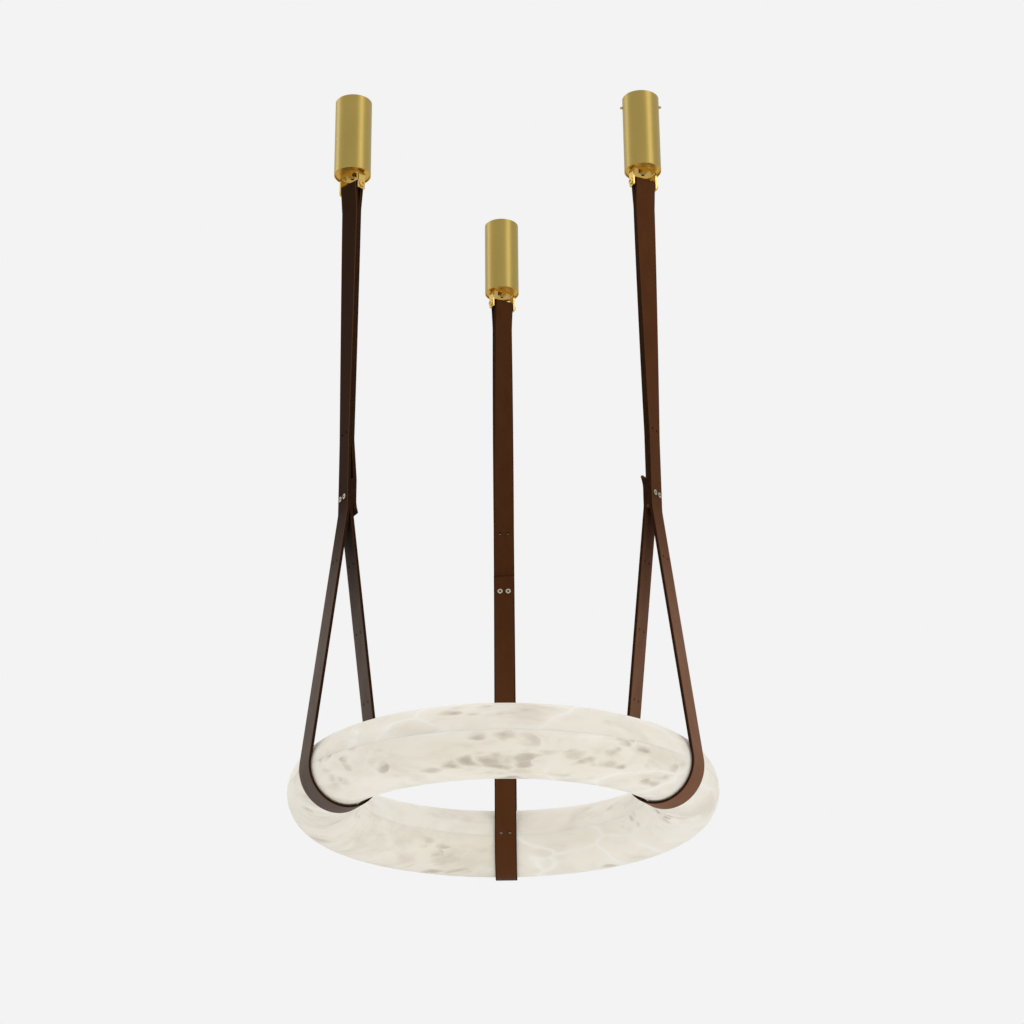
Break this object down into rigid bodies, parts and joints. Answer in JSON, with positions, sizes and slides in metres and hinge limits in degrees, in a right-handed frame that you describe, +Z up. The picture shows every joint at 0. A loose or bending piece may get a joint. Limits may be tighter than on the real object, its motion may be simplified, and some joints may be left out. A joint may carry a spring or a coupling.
{
  "type": "ring pendant light",
  "caption": "Ceiling pendant: a hollow alabaster ring slung in leather straps under brass ceiling canisters, swaying level on its cross pins.",
  "frame": {"origin": "on the ceiling, at the centre of the circle through the three canisters", "axes": "+Z up into the ceiling, -Y towards the viewer of the picture, +X to the viewer's right"},
  "size_m": [0.6, 0.6049, 1.1078],
  "materials": {
    "alabaster": "honed, veined",
    "strap_leather": "waxed belt leather",
    "satin_brass": "satin, lightly brushed",
    "polished_brass": "polished",
    "nickel_heads": "nickel plated",
    "steel_fittings": "zinc plated",
    "zinc_cast": "turned",
    "aluminium_channel": "mill",
    "led_board": "white board",
    "led_phosphor": "phosphor",
    "driver_case": "moulded",
    "terminal_nylon": "moulded"
  },
  "bodies": {
    "ceiling_fittings": {"left_ceiling_base": "zinc_cast", "left_canopy": "satin_brass", "left_canopy_screws": "steel_fittings", "left_nipple": "polished_brass", "left_nipple_nuts": "polished_brass", "left_nipple_washer": "steel_fittings", "left_fork": "polished_brass", "left_strap_pin": "polished_brass", "left_pin_clip": "steel_fittings", "right_ceiling_base": "zinc_cast", "right_canopy": "satin_brass", "right_canopy_screws": "steel_fittings", "right_nipple": "polished_brass", "right_nipple_nuts": "polished_brass", "right_nipple_washer": "steel_fittings", "right_fork": "polished_brass", "right_strap_pin": "polished_brass", "right_pin_clip": "steel_fittings", "rear_ceiling_base": "zinc_cast", "rear_canopy": "satin_brass", "rear_canopy_screws": "steel_fittings", "rear_nipple": "polished_brass", "rear_nipple_nuts": "polished_brass", "rear_nipple_washer": "steel_fittings", "rear_fork": "polished_brass", "rear_strap_pin": "polished_brass", "rear_pin_clip": "steel_fittings", "led_driver": "driver_case", "driver_screws": "steel_fittings", "terminal_block": "terminal_nylon"},
    "left_strap_body": {"left_strap": "strap_leather", "left_strap_posts": "nickel_heads", "left_strap_screws": "nickel_heads"},
    "right_strap_body": {"right_strap": "strap_leather", "right_strap_posts": "nickel_heads", "right_strap_screws": "nickel_heads"},
    "rear_strap_body": {"rear_strap": "strap_leather", "rear_strap_posts": "nickel_heads", "rear_strap_screws": "nickel_heads"},
    "ring_body": {"ring_upper": "alabaster", "ring_lower": "alabaster", "led_channel": "aluminium_channel", "led_strip": "led_board", "led_chips": "led_phosphor"}
  },
  "joints": [
    {"name": "sway", "type": "hinge", "parent": "ceiling_fittings", "child": "rear_strap_body", "pos_m": [0, 0.251, -0.148], "axis": [1, 0, 0], "range_deg": [-4, 4]},
    {"name": "ring_level", "type": "hinge", "parent": "rear_strap_body", "child": "ring_body", "pos_m": [0, 0.251, -1.054], "axis": [1, 0, 0], "range_deg": [-4, 4]},
    {"name": "left_sway", "type": "hinge", "parent": "ceiling_fittings", "child": "left_strap_body", "pos_m": [-0.21737, -0.1255, -0.148], "axis": [1, 0, 0], "range_deg": [-4, 4]},
    {"name": "right_sway", "type": "hinge", "parent": "ceiling_fittings", "child": "right_strap_body", "pos_m": [0.21737, -0.1255, -0.148], "axis": [1, 0, 0], "range_deg": [-4, 4]}
  ],
  "couplings": [
    {"joint": "ring_level", "follows": "sway", "ratio": -1},
    {"joint": "left_sway", "follows": "sway", "ratio": 1},
    {"joint": "right_sway", "follows": "sway", "ratio": 1}
  ]
}
